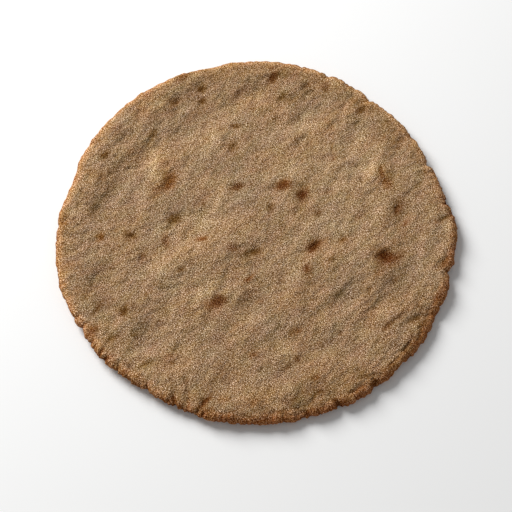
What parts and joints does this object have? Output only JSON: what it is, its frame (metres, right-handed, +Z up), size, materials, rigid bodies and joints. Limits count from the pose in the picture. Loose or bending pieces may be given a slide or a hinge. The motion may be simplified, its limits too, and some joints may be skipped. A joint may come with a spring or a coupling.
{
  "type": "jowar roti flatbread",
  "caption": "Thick round sorghum flatbread, patted out by hand, with a rippled toasted face, shallow browned hollows and a raised, cracked rim; it rests flat.",
  "frame": {"origin": "on the resting face, at the middle of the outline's bounds", "axes": "+Z up out of the upper, patted face; +Y points away from the picture's viewer and +X to that viewer's right"},
  "size_m": [0.1996, 0.1998, 0.0073],
  "materials": {
    "crust": "matt, dry and mealy griddled sorghum crust, greyish tan with small brown toasted spots and a browner rim"
  },
  "bodies": {
    "root": {"roti": "crust"}
  },
  "joints": []
}
